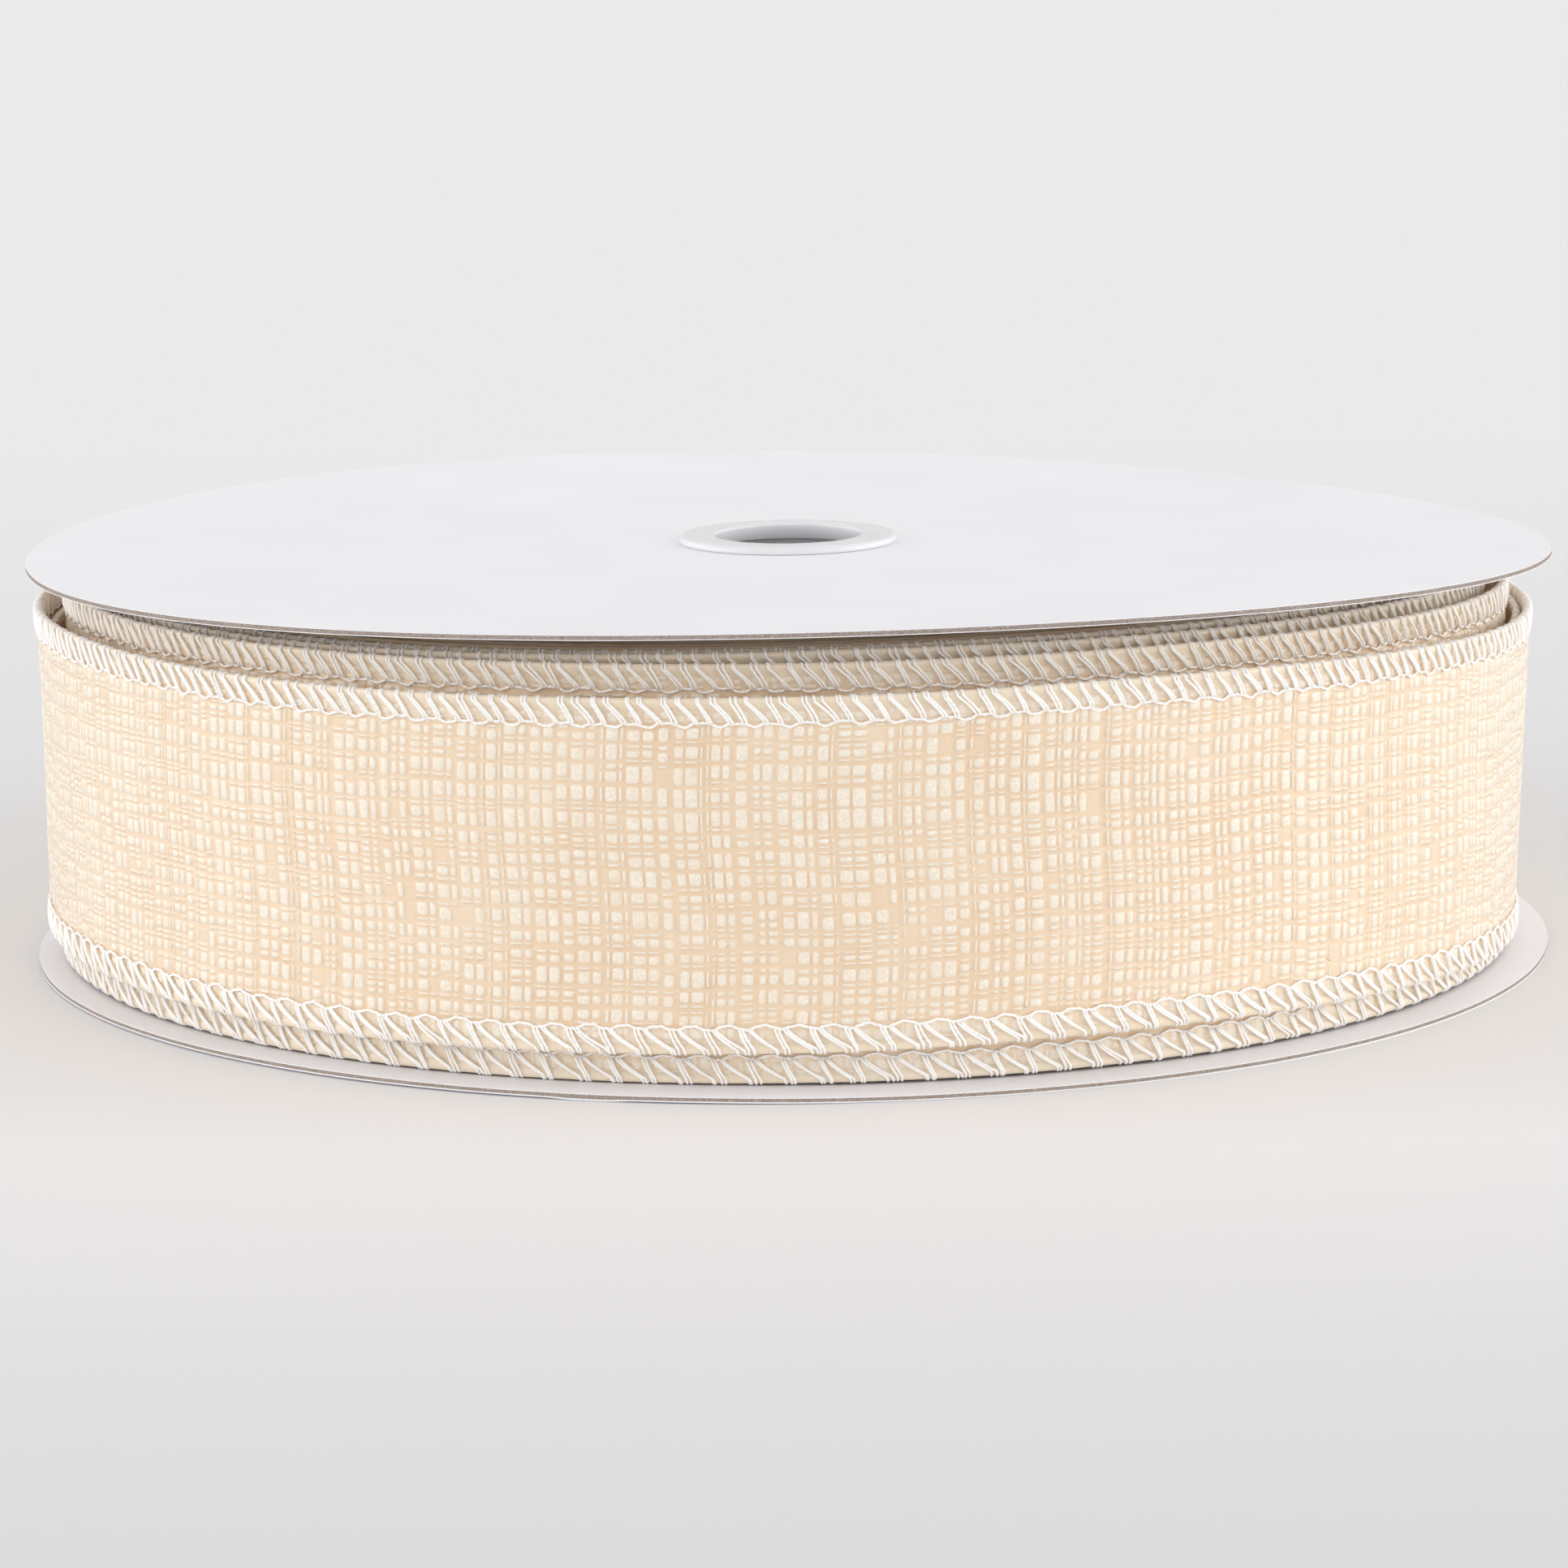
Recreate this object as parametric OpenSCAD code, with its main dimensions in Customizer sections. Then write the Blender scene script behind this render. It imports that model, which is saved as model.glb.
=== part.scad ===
// Ribbon spool: two paper-lined chipboard flanges on a hollow core with plastic hub eyelets,
// wound with wire-edged ribbon. The spool lies flat. Millimetres, +Z along the spool's axis,
// origin on the floor under the middle of the bore.

/* [Flanges] */
// Radius of both flanges
flange_r = 90; // [89.5:0.5:110]
// Thickness of a flange with its two liners
flange_t = 0.6; // [0.5:0.05:1]
// Thickness of one paper liner
liner_t = 0.08; // [0.05:0.01:0.12]
// Rise of the bottom flange from its rim to its middle
dish_h = 0.9; // [0.9:0.1:1.2]
// Radius of the flat middle of the bottom flange
dish_r = 20; // [15:1:28]

/* [Hub] */
// Radius of the bore a spindle goes through
bore_r = 8.75; // [7:0.25:8.75]
// Outer radius of an eyelet's sleeve
sleeve_r = 10; // [9.8:0.1:10.4]
// Radial clearance of a flange on the sleeve
turn_gap = 0.06; // [0.02:0.01:0.1]
// Outer radius of an eyelet's collar
collar_r = 12.9; // [12:0.1:15]
// Thickness of an eyelet's collar
collar_t = 0.85; // [0.7:0.05:0.85]
// Length of a sleeve below its collar
sleeve_len = 8; // [5:0.5:12]
// Outer radius of the core tube
core_r = 33; // [31:0.5:33]
// Wall of the core tube
core_wall = 3; // [1.5:0.5:4]
// Height from the floor to the underside of the top flange
top_z = 46.9; // [46.9:0.1:50]

/* [Ribbon] */
// Width of the ribbon
ribbon_w = 38.1; // [30:0.1:38.1]
// Thickness of the fabric
fabric_t = 0.35; // [0.2:0.05:0.35]
// Distance between one turn and the next
pitch = 2.25; // [1.6:0.05:2.25]
// Number of half turns on the core
half_turns = 49; // [21:2:49]
// Height of the row of stitching at each edge
stitch_h = 2.9; // [2:0.1:4]
// Thickness of the thread on each face of the ribbon
thread_t = 0.28; // [0.15:0.01:0.3]
// Thickness of the wire in each edge
wire_t = 0.4; // [0.3:0.05:0.5]
// Angle at the back of the spool where the free end begins
tail_from = 110; // [60:5:130]
// Angle the free end covers
tail_span = 39; // [15:1:45]

/* [Hidden] */
$fn = 180;
board_t = flange_t - 2 * liner_t;
hole_r = sleeve_r + turn_gap;
// the core stands 0.1 clear of both flanges, and each collar 0.05
core_z0 = dish_h + flange_t + 0.1;
core_z1 = top_z - 0.1;
core_in = core_r - core_wall;
total_h = top_z + flange_t + 0.05 + collar_t;
// first turn, just clear of the core and of the thread on the ribbon's inner face
ribbon_r0 = core_r + 0.05 + thread_t + 0.02;
edge = 0.6;          // fabric's cut edge below the stitched edge
side_gap = 0.02;     // thread strips beside the fabric
hinge_gap = 0.4;     // slit between the wound ribbon and its free end
tail_r = ribbon_r0 + (half_turns - 1) * pitch / 2;
gap_deg = hinge_gap / tail_r * 180 / PI;

// Height of the ribbon's lower edge on half turn i. The wound ribbon wanders up and down
// between the flanges; that wander is drawn as steps at the half turns.
low = dish_h + 0.2;
high = top_z - 0.3 - ribbon_w;
mid = 4.35;
function lift(i) =
    let (from_end = half_turns - 1 - i)
    from_end < 3 ? mid :
    from_end < 5 ? low :
    from_end < 7 ? high - 0.8 :
    from_end < 9 ? high :
    from_end < 13 ? mid + 1.2 : mid;

// A strip that follows the wound ribbon: half circles about two centres in turn, which grow
// by half the pitch each. r0 is measured from the fabric's inner face, z from its lower edge.
module wound(r0, t, z, h) {
    for (i = [0:half_turns - 1])
        translate([i % 2 == 0 ? 0 : pitch / 2, 0, lift(i) + z])
            rotate([0, 0, i % 2 == 0 ? 0 : 180])
                rotate_extrude(angle = i == half_turns - 1 ? tail_from - gap_deg : 180)
                    translate([ribbon_r0 + i * pitch / 2 + r0, 0]) square([t, h]);
}

// The same strip along the free end
module along_tail(r0, t, z, h) {
    translate([0, 0, lift(half_turns - 1) + z])
        rotate([0, 0, tail_from])
            rotate_extrude(angle = tail_span) translate([tail_r + r0, 0]) square([t, h]);
}

// One layer of a flat flange from height a to height b above its underside
module flat_layer(a, b) {
    rotate_extrude() translate([hole_r, top_z + a]) square([flange_r - hole_r, b - a]);
}

// One layer of the dished flange: flat in the middle, then falling to the rim
module dished_layer(a, b) {
    rotate_extrude() polygon([[hole_r, dish_h + a], [dish_r, dish_h + a], [flange_r, a],
                              [flange_r, b], [dish_r, dish_h + b], [hole_r, dish_h + b]]);
}

module top_flange_outer_liner() { color([0.93, 0.93, 0.94]) flat_layer(flange_t - liner_t, flange_t); }
module top_flange_board() { color([0.62, 0.57, 0.52]) flat_layer(liner_t, flange_t - liner_t); }
module top_flange_inner_liner() { color([0.93, 0.93, 0.93]) flat_layer(0, liner_t); }
module bottom_flange_inner_liner() { color([0.92, 0.91, 0.91]) dished_layer(flange_t - liner_t, flange_t); }
module bottom_flange_board() { color([0.62, 0.57, 0.52]) dished_layer(liner_t, flange_t - liner_t); }
module bottom_flange_outer_liner() { color([0.93, 0.93, 0.93]) dished_layer(0, liner_t); }

// Collar with a bevelled rim over a sleeve that enters the core; the bore is straight.
module eyelet() {
    rotate_extrude()
        polygon([[bore_r, 0], [collar_r - 0.35, 0], [collar_r, 0.35], [collar_r, collar_t],
                 [sleeve_r, collar_t], [sleeve_r, collar_t + sleeve_len - 0.4],
                 [sleeve_r - 0.3, collar_t + sleeve_len], [bore_r, collar_t + sleeve_len]]);
}
module bottom_hub_eyelet() { color([0.72, 0.76, 0.8, 0.7]) eyelet(); }
module top_hub_eyelet() { color([0.72, 0.76, 0.8, 0.7]) translate([0, 0, total_h]) mirror([0, 0, 1]) eyelet(); }

module core_tube() {
    color([0.66, 0.55, 0.43]) difference() {
        translate([0, 0, core_z0]) cylinder(r = core_r, h = core_z1 - core_z0);
        translate([0, 0, core_z0 - 1]) cylinder(r = core_in, h = core_z1 - core_z0 + 2);
    }
}

// Disc with a skirt that presses into the tube and a boss that grips the sleeve
module plug() {
    rotate_extrude()
        polygon([[sleeve_r, 0], [core_in, 0], [core_in, 8], [core_in - 1.5, 8], [core_in - 1.5, 1.8],
                 [sleeve_r + 1.6, 1.8], [sleeve_r + 1.6, 5.5], [sleeve_r, 5.5]]);
}
module bottom_core_plug() { color([0.86, 0.86, 0.85]) translate([0, 0, core_z0]) plug(); }
module top_core_plug() { color([0.86, 0.86, 0.85]) translate([0, 0, core_z1]) mirror([0, 0, 1]) plug(); }

// Short strip over the first few degrees of the ribbon's start, in the room under the next turn
module ribbon_start_tape() {
    color([0.9, 0.88, 0.8]) translate([0, 0, mid + 8])
        rotate([0, 0, 2]) rotate_extrude(angle = 26)
            translate([ribbon_r0 + fabric_t + 0.02, 0]) square([0.08, 22]);
}

module ribbon_fabric() { color([0.93, 0.87, 0.78]) wound(0, fabric_t, edge, ribbon_w - 2 * edge); }
module ribbon_top_wire() { color([0.75, 0.75, 0.74]) wound(0, fabric_t, ribbon_w - edge + 0.05, wire_t); }
module ribbon_bottom_wire() { color([0.75, 0.75, 0.74]) wound(0, fabric_t, edge - 0.05 - wire_t, wire_t); }
module stitch_rows_wound(z) {
    wound(-side_gap - thread_t, thread_t, z, stitch_h);
    wound(fabric_t + side_gap, thread_t, z, stitch_h);
}
module ribbon_top_stitching() { color([0.98, 0.97, 0.96]) stitch_rows_wound(ribbon_w - stitch_h); }
module ribbon_bottom_stitching() { color([0.98, 0.97, 0.96]) stitch_rows_wound(0); }

module tail_fabric() { color([0.93, 0.87, 0.78]) along_tail(0, fabric_t, edge, ribbon_w - 2 * edge); }
module tail_top_wire() { color([0.75, 0.75, 0.74]) along_tail(0, fabric_t, ribbon_w - edge + 0.05, wire_t); }
module tail_bottom_wire() { color([0.75, 0.75, 0.74]) along_tail(0, fabric_t, edge - 0.05 - wire_t, wire_t); }
module stitch_rows_tail(z) {
    along_tail(-side_gap - thread_t, thread_t, z, stitch_h);
    along_tail(fabric_t + side_gap, thread_t, z, stitch_h);
}
module tail_top_stitching() { color([0.98, 0.97, 0.96]) stitch_rows_tail(ribbon_w - stitch_h); }
module tail_bottom_stitching() { color([0.98, 0.97, 0.96]) stitch_rows_tail(0); }

top_flange_outer_liner();
top_flange_board();
top_flange_inner_liner();
bottom_flange_inner_liner();
bottom_flange_board();
bottom_flange_outer_liner();
top_hub_eyelet();
bottom_hub_eyelet();
core_tube();
top_core_plug();
bottom_core_plug();
ribbon_start_tape();
ribbon_fabric();
ribbon_top_wire();
ribbon_bottom_wire();
ribbon_top_stitching();
ribbon_bottom_stitching();
tail_fabric();
tail_top_wire();
tail_bottom_wire();
tail_top_stitching();
tail_bottom_stitching();
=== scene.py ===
import math

import bpy
import numpy as np
from mathutils import Matrix, Vector


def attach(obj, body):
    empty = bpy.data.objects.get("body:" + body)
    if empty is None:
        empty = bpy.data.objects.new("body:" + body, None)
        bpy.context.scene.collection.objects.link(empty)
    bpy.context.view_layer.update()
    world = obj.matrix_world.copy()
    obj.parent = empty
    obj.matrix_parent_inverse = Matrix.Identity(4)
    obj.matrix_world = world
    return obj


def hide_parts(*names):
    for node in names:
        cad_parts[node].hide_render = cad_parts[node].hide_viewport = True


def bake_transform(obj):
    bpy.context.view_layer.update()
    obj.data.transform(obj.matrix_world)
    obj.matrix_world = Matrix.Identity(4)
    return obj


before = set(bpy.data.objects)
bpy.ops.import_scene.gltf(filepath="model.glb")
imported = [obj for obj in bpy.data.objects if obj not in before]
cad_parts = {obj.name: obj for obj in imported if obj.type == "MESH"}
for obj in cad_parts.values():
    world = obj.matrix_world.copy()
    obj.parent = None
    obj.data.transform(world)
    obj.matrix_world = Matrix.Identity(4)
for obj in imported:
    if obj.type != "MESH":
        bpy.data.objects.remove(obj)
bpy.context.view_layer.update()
rng = np.random.default_rng(11)

# ---------------------------------------------------------------- sizes, in millimetres
W = 38.1  # ribbon width
PITCH = 2.25
R0 = 32.85  # fabric's inner face at angle 0
PHI_END = 8750.0  # degrees wound from the core to where the free end starts
TAIL = 39.0
FLANGE_R, HOLE_R = 90.0, 10.06
PERIOD = 3.7  # one stitch


def smooth(t):
    t = np.clip(t, 0, 1)
    return t * t * (3 - 2 * t)


def curve(x, pts):
    """Smooth curve through the points (x, value): cubic Hermite with finite-difference slopes."""
    px, py = np.array(pts, float).T
    m = np.gradient(py, px)
    x = np.clip(x, px[0], px[-1])
    i = np.clip(np.searchsorted(px, x) - 1, 0, len(px) - 2)
    h = px[i + 1] - px[i]
    t = (x - px[i]) / h
    return (
        (2 * t**3 - 3 * t**2 + 1) * py[i]
        + (t**3 - 2 * t**2 + t) * h * m[i]
        + (-2 * t**3 + 3 * t**2) * py[i + 1]
        + (t**3 - t**2) * h * m[i + 1]
    )


# ---------------------------------------------------------------- the flanges' bend
def top_bend(x, y):
    """Height of the top flange's upper face: the board is bent, and higher at the front."""
    z = -0.00478 * x - 0.01396 * y - 0.434e-4 * x * x - 1.773e-4 * x * y + 1.604e-4 * y * y
    return 47.5 + z * smooth((np.hypot(x, y) - 13) / 16)


def bottom_bend(x, y):
    """Height of the bottom flange's underside: flat in the middle, then falling to the rim."""
    r, a = np.hypot(x, y), np.arctan2(y, x)
    fall = 0.9 * (1 - np.clip((r - 20) / 70, 0, 1))
    ripple = (0.03 * (1 + np.sin(3 * a + 0.6)) + 0.12 * smooth((-x - 2) / 75) + 0.12 * smooth((12 - x) / 26)) * smooth((r - 30) / 60)
    return fall + ripple


# ---------------------------------------------------------------- the wound ribbon's path
def front(k, deg):
    """Wound angle of turn k, counted from the outside, at the polar angle deg (180 left, 270 front, 360 right)."""
    return PHI_END - 470 + deg - 360 * k


# lower edge of the ribbon along its length: it wanders between the flanges
_z = [(0, 4.5)]
for n in range(1, 38):
    _z.append((n * 195.0, 4.3 + 1.9 * math.sin(n * 1.31) + 1.0 * math.sin(n * 0.47 + 1)))
_z = [p for p in _z if p[0] < front(9, 120)]
for n in range(9, 3, -1):
    _z += [(front(n, 150), 6.2), (front(n, 205), 6.9), (front(n, 250), 8.5), (front(n, 280), 8.75), (front(n, 315), 8.6), (front(n, 345), 7.9), (front(n, 375), 6.6)]
_z += [(front(3, 150), 6.4), (front(3, 205), 7.1), (front(3, 250), 8.4), (front(3, 280), 8.6), (front(3, 310), 8.2), (front(3, 340), 7.3), (front(3, 370), 6.2)]
_z += [(front(2, 90), 6.6), (front(2, 190), 7.0), (front(2, 235), 7.3), (front(2, 270), 7.6), (front(2, 305), 7.4), (front(2, 335), 6.2), (front(2, 360), 5.0)]
_z += [(front(1, 90), 2.4), (front(1, 180), 1.7), (front(1, 215), 1.25), (front(1, 245), 1.08), (front(1, 270), 0.92), (front(1, 315), 1.05), (front(1, 345), 1.2), (front(1, 370), 1.6)]
_z += [(front(0, 90), 3.4), (front(0, 180), 4.5), (front(0, 200), 4.7), (front(0, 232), 4.35), (front(0, 270), 4.75), (front(0, 300), 4.95), (front(0, 320), 4.0), (front(0, 345), 2.6), (front(0, 360), 2.2)]
_z += [(front(0, 420), 2.9), (front(0, 470), 3.8), (front(0, 520), 4.3)]

# how far each turn stands off the even spiral, at mid height, and how much its top leans out
_d = [(0, 0)]
for n in range(1, 70):
    _d.append((n * 111.0, 0.28 * math.sin(n * 2.17) + 0.22 * math.sin(n * 0.83 + 2)))
_d = [p for p in _d if p[0] < front(7, 90)]
for n, (a, b) in {6: (0.7, 0.4), 5: (1.5, 0.8), 4: (2.3, 1.2)}.items():
    _d += [(front(n, 90), 0.0), (front(n, 180), a), (front(n, 270), 0.0), (front(n, 360), b)]
_d += [(front(3, 90), 0.1), (front(3, 180), 3.2), (front(3, 225), 1.6), (front(3, 270), 0.0), (front(3, 315), 0.7), (front(3, 360), 1.7)]
_d += [(front(2, 90), 0.2), (front(2, 180), 3.9), (front(2, 225), 2.2), (front(2, 270), 0.15), (front(2, 315), 0.9), (front(2, 360), 2.0)]
_d += [(front(1, 90), 0.3), (front(1, 180), 3.2), (front(1, 225), 1.7), (front(1, 270), 0.15), (front(1, 315), 0.5), (front(1, 360), 0.75)]
_d += [(front(0, 70), 0.3), (front(0, 130), 1.2), (front(0, 180), 2.45), (front(0, 215), 1.9), (front(0, 270), 0.35), (front(0, 330), 0.1), (front(0, 360), -0.55), (front(0, 420), -0.2), (front(0, 470), 0.0), (front(0, 520), 0.1)]
_l = [(0, 0.1)]
for n in range(1, 60):
    _l.append((n * 131.0, 0.35 * math.sin(n * 1.9 + 1)))
_l = [p for p in _l if p[0] < front(2, 200)]
_l += [(front(1, 90), 0.2), (front(1, 180), 0.4), (front(1, 270), -0.4), (front(1, 360), 0.8)]
_l += [(front(0, 100), 0.3), (front(0, 180), 0.5), (front(0, 270), 0.0), (front(0, 330), 0.8), (front(0, 360), 1.5), (front(0, 420), 0.6), (front(0, 520), 0.2)]

PHI = np.arange(0, PHI_END + TAIL + 3, 1.0)
RR = R0 + PHI / 360 * PITCH + curve(PHI, _d) + 0.175
ZZ = curve(PHI, _z)
LL = curve(PHI, _l)
# keep clear of the top flange
_x, _y = RR * np.cos(np.radians(PHI)), RR * np.sin(np.radians(PHI))
ZZ = np.minimum(ZZ, top_bend(_x, _y) - 0.6 - W - 0.35)
# and of both flanges when they stand a quarter or half turn round
ZZ = np.minimum(ZZ, np.minimum(top_bend(_y, -_x), top_bend(-_x, -_y)) - 0.6 - W - 0.2)
ZZ = np.maximum(ZZ, np.maximum(bottom_bend(_y, -_x), bottom_bend(-_x, -_y)) + 0.7)
SS = np.concatenate([[0], np.cumsum(np.hypot(np.diff(RR), np.radians(1.0) * (RR[1:] + RR[:-1]) / 2))])


def s_of(phi):
    return float(np.interp(phi, PHI, SS))


def wrap(s, v, n):
    """From the flat ribbon (s along it, v up from its lower edge, n out of its face) to the spool."""
    phi = np.interp(s, SS, PHI)
    r = np.interp(phi, PHI, RR) + np.interp(phi, PHI, LL) * (v / W - 0.5) + n
    a = np.radians(phi)
    return np.stack([r * np.cos(a), r * np.sin(a), np.interp(phi, PHI, ZZ) + v], -1)


# ---------------------------------------------------------------- mesh helpers
def build(name, verts, faces, mat, values=None, flat=False):
    verts = np.asarray(verts, float).reshape(-1, 3)
    faces = [np.asarray(f, np.int32) for f in (faces if isinstance(faces, list) else [faces])]
    me = bpy.data.meshes.new(name)
    me.vertices.add(len(verts))
    me.vertices.foreach_set("co", (verts * 0.001).astype(np.float32).ravel())
    loops = np.concatenate([f.ravel() for f in faces])
    sizes = np.concatenate([np.full(len(f), f.shape[1]) for f in faces])
    me.loops.add(len(loops))
    me.loops.foreach_set("vertex_index", loops)
    me.polygons.add(len(sizes))
    me.polygons.foreach_set("loop_start", np.concatenate([[0], np.cumsum(sizes)[:-1]]).astype(np.int32))
    me.update(calc_edges=True)
    me.polygons.foreach_set("use_smooth", np.full(len(sizes), not flat))
    for key, val in (values or {}).items():
        at = me.attributes.new(key, "FLOAT", "POINT")
        at.data.foreach_set("value", np.asarray(val, np.float32).ravel())
    me.validate()
    me.materials.append(mat)
    ob = bpy.data.objects.new(name, me)
    bpy.context.scene.collection.objects.link(ob)
    return ob


def grid_faces(n, m, close_m=False, start=0):
    i, j = np.meshgrid(np.arange(n - 1), np.arange(m if close_m else m - 1), indexing="ij")
    j2 = (j + 1) % m
    return start + np.stack([i * m + j, (i + 1) * m + j, (i + 1) * m + j2, i * m + j2], -1).reshape(-1, 4)


def tubes(paths, radius, sides, caps=True, twist=0.0):
    """Tubes round many paths at once, in flat ribbon space. paths is (count, points, 3)."""
    p = np.asarray(paths, float)
    k, m, _ = p.shape
    t = np.gradient(p, axis=1)
    t /= np.linalg.norm(t, axis=-1, keepdims=True) + 1e-12
    up = np.zeros_like(t)
    # a steady frame: start from one side vector and carry it along
    ref = np.tile(np.array([1.0, 0.31, 0.17]), (k, 1))
    for i in range(m):
        ref = ref - (ref * t[:, i]).sum(-1, keepdims=True) * t[:, i]
        ref /= np.linalg.norm(ref, axis=-1, keepdims=True) + 1e-12
        up[:, i] = ref
    side = np.cross(t, up)
    a = np.arange(sides) * 2 * math.pi / sides
    rad = np.broadcast_to(np.asarray(radius, float), (k, m))[:, :, None]
    if twist:  # two plies laid round each other
        run = np.concatenate([np.zeros((k, 1)), np.cumsum(np.linalg.norm(np.diff(p, axis=1), axis=-1), 1)], 1)
        rad = rad * (1 + 0.17 * np.cos(2 * (a[None, None] - run[:, :, None] * twist)))
    ring = p[:, :, None] + rad[:, :, :, None] * (
        up[:, :, None] * np.cos(a)[None, None, :, None] + side[:, :, None] * np.sin(a)[None, None, :, None]
    )
    verts = ring.reshape(-1, 3)
    base = np.arange(k)[:, None] * m * sides
    body = (grid_faces(m, sides, True)[None] + base[:, :, None]).reshape(-1, 4)
    faces = [body]
    if caps:
        end = np.arange(sides)
        faces.append((end[::-1][None] + base).reshape(-1, sides)[:, ::-1])
        faces.append(((m - 1) * sides + end[None] + base).reshape(-1, sides)[:, ::-1])
    return verts, faces


def joined(parts):
    """Several (verts, [faces]) as one."""
    verts, groups, at = [], {}, 0
    for v, fs in parts:
        verts.append(v)
        for f in fs:
            groups.setdefault(f.shape[1], []).append(f + at)
        at += len(v)
    return np.concatenate(verts), [np.concatenate(g) for g in groups.values()]


# ---------------------------------------------------------------- materials
def material(name):
    m = bpy.data.materials.new(name)
    m.use_nodes = True
    nt = m.node_tree
    return m, nt, nt.nodes["Principled BSDF"]


def node(nt, kind, **inputs):
    n = nt.nodes.new(kind)
    for k, v in inputs.items():
        if hasattr(n, k):
            setattr(n, k, v)
        else:
            n.inputs[k.replace("_", " ")].default_value = v
    return n


def noise(nt, scale, detail=3, rough=0.6, stretch=(1, 1, 1)):
    tc = nt.nodes.new("ShaderNodeTexCoord")
    mp = nt.nodes.new("ShaderNodeMapping")
    mp.inputs["Scale"].default_value = stretch
    n = nt.nodes.new("ShaderNodeTexNoise")
    n.inputs["Scale"].default_value = scale
    n.inputs["Detail"].default_value = detail
    n.inputs["Roughness"].default_value = rough
    nt.links.new(tc.outputs["Object"], mp.inputs["Vector"])
    nt.links.new(mp.outputs["Vector"], n.inputs["Vector"])
    return n


def ramp(nt, src, stops):
    r = nt.nodes.new("ShaderNodeValToRGB")
    while len(r.color_ramp.elements) < len(stops):
        r.color_ramp.elements.new(0.5)
    for e, (pos, col) in zip(r.color_ramp.elements, stops):
        e.position = pos
        e.color = (*col, 1) if len(col) == 3 else col
    nt.links.new(src, r.inputs["Fac"])
    return r


def mix(nt, fac, a, b, kind="MIX"):
    m = nt.nodes.new("ShaderNodeMix")
    m.data_type = "RGBA"
    m.blend_type = kind
    for sock, val in ((m.inputs[0], fac), (m.inputs[6], a), (m.inputs[7], b)):
        if isinstance(val, bpy.types.NodeSocket):
            nt.links.new(val, sock)
        elif sock == m.inputs[0]:
            sock.default_value = val
        else:
            sock.default_value = (*val, 1)
    return m.outputs[2]


def bump(nt, bsdf, height, strength, distance):
    b = nt.nodes.new("ShaderNodeBump")
    b.inputs["Strength"].default_value = strength
    b.inputs["Distance"].default_value = distance
    nt.links.new(height, b.inputs["Height"])
    nt.links.new(b.outputs["Normal"], bsdf.inputs["Normal"])
    return b


def cloth_material():
    m, nt, p = material("embossed_nonwoven")
    at = nt.nodes.new("ShaderNodeAttribute")
    at.attribute_name = "cell"
    fibre = noise(nt, 3300, 2, 0.7)
    fibre.inputs["Distortion"].default_value = 1.6
    cloud = noise(nt, 90, 2, 0.5)
    channel = ramp(nt, cloud.outputs["Fac"], [(0.3, (0.83, 0.64, 0.44)), (0.7, (0.865, 0.70, 0.51))])
    cells = ramp(nt, fibre.outputs["Fac"], [(0.36, (0.845, 0.735, 0.585)), (0.5, (0.89, 0.80, 0.67)), (0.62, (0.96, 0.905, 0.81))])
    col = mix(nt, at.outputs["Fac"], channel.outputs["Color"], cells.outputs["Color"])
    nt.links.new(col, p.inputs["Base Color"])
    rough = ramp(nt, at.outputs["Fac"], [(0.0, (0.42, 0.42, 0.42)), (1.0, (0.52, 0.52, 0.52))])
    nt.links.new(rough.outputs["Color"], p.inputs["Roughness"])
    bump(nt, p, fibre.outputs["Fac"], 0.5, 0.00006)
    p.inputs["Subsurface Weight"].default_value = 0.35
    p.inputs["Subsurface Radius"].default_value = (1.0, 0.75, 0.5)
    p.inputs["Subsurface Scale"].default_value = 0.0012
    p.inputs["Coat Weight"].default_value = 0.75
    p.inputs["Coat Roughness"].default_value = 0.36
    p.inputs["Sheen Weight"].default_value = 0.5
    p.inputs["Sheen Roughness"].default_value = 0.35
    p.inputs["Sheen Tint"].default_value = (1, 0.98, 0.95, 1)
    p.inputs["Specular IOR Level"].default_value = 0.5
    return m


def thread_material(name, low, high):
    m, nt, p = material(name)
    f = noise(nt, 3800, 2, 0.6)
    c = ramp(nt, f.outputs["Fac"], [(0.3, low), (0.6, high)])
    nt.links.new(c.outputs["Color"], p.inputs["Base Color"])
    bump(nt, p, f.outputs["Fac"], 0.4, 0.00004)
    p.inputs["Roughness"].default_value = 0.55
    p.inputs["Sheen Weight"].default_value = 0.2
    return m


def liner_material(name, low, high):
    m, nt, p = material(name)
    f = noise(nt, 45, 3, 0.55)
    c = ramp(nt, f.outputs["Fac"], [(0.35, low), (0.65, high)])
    nt.links.new(c.outputs["Color"], p.inputs["Base Color"])
    g = noise(nt, 1400, 2, 0.5)
    bump(nt, p, g.outputs["Fac"], 0.08, 0.00004)
    r = ramp(nt, f.outputs["Fac"], [(0.3, (0.42, 0.42, 0.42)), (0.7, (0.52, 0.52, 0.52))])
    nt.links.new(r.outputs["Color"], p.inputs["Roughness"])
    return m


def board_material(name, dark, mid, light):
    m, nt, p = material(name)
    f = noise(nt, 4200, 4, 0.8, (1, 1, 2.0))
    c = ramp(nt, f.outputs["Fac"], [(0.37, dark), (0.46, mid), (0.56, mid), (0.66, light)])
    nt.links.new(c.outputs["Color"], p.inputs["Base Color"])
    bump(nt, p, f.outputs["Fac"], 0.6, 0.0001)
    p.inputs["Roughness"].default_value = 0.9
    return m


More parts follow.
